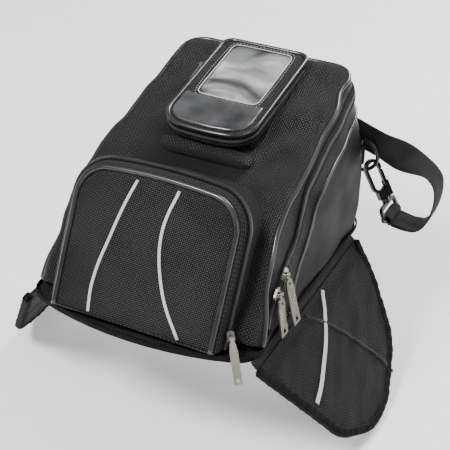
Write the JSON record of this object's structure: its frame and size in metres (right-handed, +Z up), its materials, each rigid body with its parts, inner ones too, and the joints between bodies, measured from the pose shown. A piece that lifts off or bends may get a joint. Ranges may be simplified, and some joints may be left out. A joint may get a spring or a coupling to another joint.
{
  "type": "motorcycle tank bag",
  "caption": "Soft wedge-shaped tank bag with a zipped main compartment, front pocket, windowed phone pocket, hanging magnetic side flaps and a clip-on carrying strap.",
  "frame": {"origin": "middle of the base's underside, where the bag rests on the tank", "axes": "+X to the bag's right, +Y to its rear (the tall end with the strap), +Z up from the tank"},
  "size_m": [0.3948, 0.3291, 0.2914],
  "materials": {
    "ballistic_cloth": "coarse woven",
    "smooth_cloth": "smooth close weave",
    "binding_tape": "ribbed tape",
    "zip_tape": "coil and tape",
    "piping": "satin",
    "reflective_tape": "satin",
    "coated_patch": "glossy",
    "clear_window": "clear",
    "board": "matte",
    "magnet": "plain",
    "nickel": "antique",
    "black_plastic": "satin",
    "webbing": "ribbed"
  },
  "bodies": {
    "base": {"base_panel": "ballistic_cloth", "base_binding": "binding_tape", "base_board": "board", "rear_panel": "ballistic_cloth", "right_lower_gusset": "ballistic_cloth", "left_lower_gusset": "ballistic_cloth", "right_side_panel": "smooth_cloth", "left_side_panel": "smooth_cloth", "main_zip_lower": "zip_tape", "right_panel_piping": "piping", "left_panel_piping": "piping", "ring_tab": "webbing", "strap_anchor": "webbing", "strap_upper": "webbing", "strap_lower": "webbing", "swivel_eye": "black_plastic"},
    "lid": {"top_panel": "ballistic_cloth", "lid_rear_band": "ballistic_cloth", "right_lid_gusset": "ballistic_cloth", "left_lid_gusset": "ballistic_cloth", "main_zip_upper": "zip_tape", "right_top_piping": "piping", "left_top_piping": "piping", "grab_strip": "ballistic_cloth", "pocket_gusset": "ballistic_cloth", "pocket_zip": "zip_tape", "phone_tray": "ballistic_cloth", "phone_zip": "zip_tape"},
    "pocket_front": {"pocket_cover": "ballistic_cloth", "pocket_piping": "piping", "pocket_stripe_left": "reflective_tape", "pocket_stripe_right": "reflective_tape"},
    "phone_lid": {"phone_cover": "ballistic_cloth", "phone_window": "clear_window", "phone_patch": "coated_patch", "phone_piping": "piping"},
    "right_flap": {"right_flap_shell": "ballistic_cloth", "right_flap_backing": "ballistic_cloth", "right_flap_binding": "binding_tape", "right_flap_stripe": "reflective_tape", "right_flap_magnet_front": "magnet", "right_flap_magnet_rear": "magnet"},
    "left_flap": {"left_flap_shell": "ballistic_cloth", "left_flap_backing": "ballistic_cloth", "left_flap_binding": "binding_tape", "left_flap_stripe": "reflective_tape", "left_flap_magnet_front": "magnet", "left_flap_magnet_rear": "magnet"},
    "d_ring": {"d_ring": "black_plastic"},
    "snap_hook": {"snap_hook": "black_plastic"},
    "hook_gate": {"hook_gate": "black_plastic"},
    "strap_adjuster": {"strap_adjuster": "black_plastic"},
    "main_upper_slider": {"main_upper_slider": "nickel"},
    "main_upper_pull": {"main_upper_pull": "nickel"},
    "main_lower_slider": {"main_lower_slider": "nickel"},
    "main_lower_pull": {"main_lower_pull": "nickel"},
    "pocket_slider": {"pocket_slider": "nickel"},
    "pocket_pull": {"pocket_pull": "nickel"},
    "phone_slider": {"phone_slider": "nickel"},
    "phone_pull": {"phone_pull": "nickel"}
  },
  "joints": [
    {"name": "lid_hinge", "type": "hinge", "parent": "base", "child": "lid", "pos_m": [0, -0.157, 0.008], "axis": [1, 0, 0], "range_deg": [0, 60]},
    {"name": "pocket_front_hinge", "type": "hinge", "parent": "lid", "child": "pocket_front", "pos_m": [0, -0.155, 0.009], "axis": [1, 0, 0], "range_deg": [0, 55]},
    {"name": "phone_lid_hinge", "type": "hinge", "parent": "lid", "child": "phone_lid", "pos_m": [0, 0.127, 0.164], "axis": [-1, 0, 0], "range_deg": [0, 110]},
    {"name": "right_flap_hinge", "type": "hinge", "parent": "base", "child": "right_flap", "pos_m": [0.1175, 0, -0.003], "axis": [0, -1, 0], "range_deg": [-30, 40]},
    {"name": "left_flap_hinge", "type": "hinge", "parent": "base", "child": "left_flap", "pos_m": [-0.1175, 0, -0.003], "axis": [0, 1, 0], "range_deg": [-30, 40]},
    {"name": "main_upper_slider_run", "type": "slide", "parent": "base", "child": "main_upper_slider", "axis": [-0.0952, 0.7734, 0.6267], "range_m": [0, 0.01]},
    {"name": "main_upper_pull_swing", "type": "hinge", "parent": "main_upper_slider", "child": "main_upper_pull", "pos_m": [0.11372, -0.071, 0.05009], "axis": [-0.0105, -0.9976, 0.069], "range_deg": [0, 100]},
    {"name": "main_lower_slider_run", "type": "slide", "parent": "base", "child": "main_lower_slider", "axis": [-0.0952, 0.7734, 0.6267], "range_m": [-0.004, 0]},
    {"name": "main_lower_pull_swing", "type": "hinge", "parent": "main_lower_slider", "child": "main_lower_pull", "pos_m": [0.11524, -0.088, 0.04009], "axis": [-0.0105, -0.9976, 0.069], "range_deg": [0, 100]},
    {"name": "pocket_slider_run", "type": "slide", "parent": "lid", "child": "pocket_slider", "axis": [0, 0.4819, 0.8762], "range_m": [0, 0.08]},
    {"name": "pocket_pull_swing", "type": "hinge", "parent": "pocket_slider", "child": "pocket_pull", "pos_m": [0.0934, -0.1406, 0.022], "axis": [-0.7422, -0.6702, 0], "range_deg": [0, 90]},
    {"name": "phone_slider_run", "type": "slide", "parent": "lid", "child": "phone_slider", "axis": [0, 0.9859, 0.1676], "range_m": [-0.055, 0.02]},
    {"name": "phone_pull_swing", "type": "hinge", "parent": "phone_slider", "child": "phone_pull", "pos_m": [-0.051, 0.082, 0.1515], "axis": [0, 0.309, -0.9511], "range_deg": [0, 120]},
    {"name": "d_ring_swing", "type": "hinge", "parent": "base", "child": "d_ring", "pos_m": [0.097, 0.148, 0.056], "axis": [0, 0, 1], "range_deg": [-6, 2]},
    {"name": "hook_swivel", "type": "hinge", "parent": "base", "child": "snap_hook", "pos_m": [0.12407, 0.148, 0.01492], "axis": [0.4478, 0, -0.8942], "range_deg": [-15, 5]},
    {"name": "gate_spring_pivot", "type": "hinge", "parent": "snap_hook", "child": "hook_gate", "pos_m": [0.12337, 0.15488, 0.02519], "axis": [0.7744, -0.5, 0.3878], "range_deg": [0, 12], "stiffness_Nm_per_rad": 0.02},
    {"name": "adjuster_slide", "type": "slide", "parent": "base", "child": "strap_adjuster", "axis": [1, 0, 0], "range_m": [-0.045, 0.018]}
  ]
}
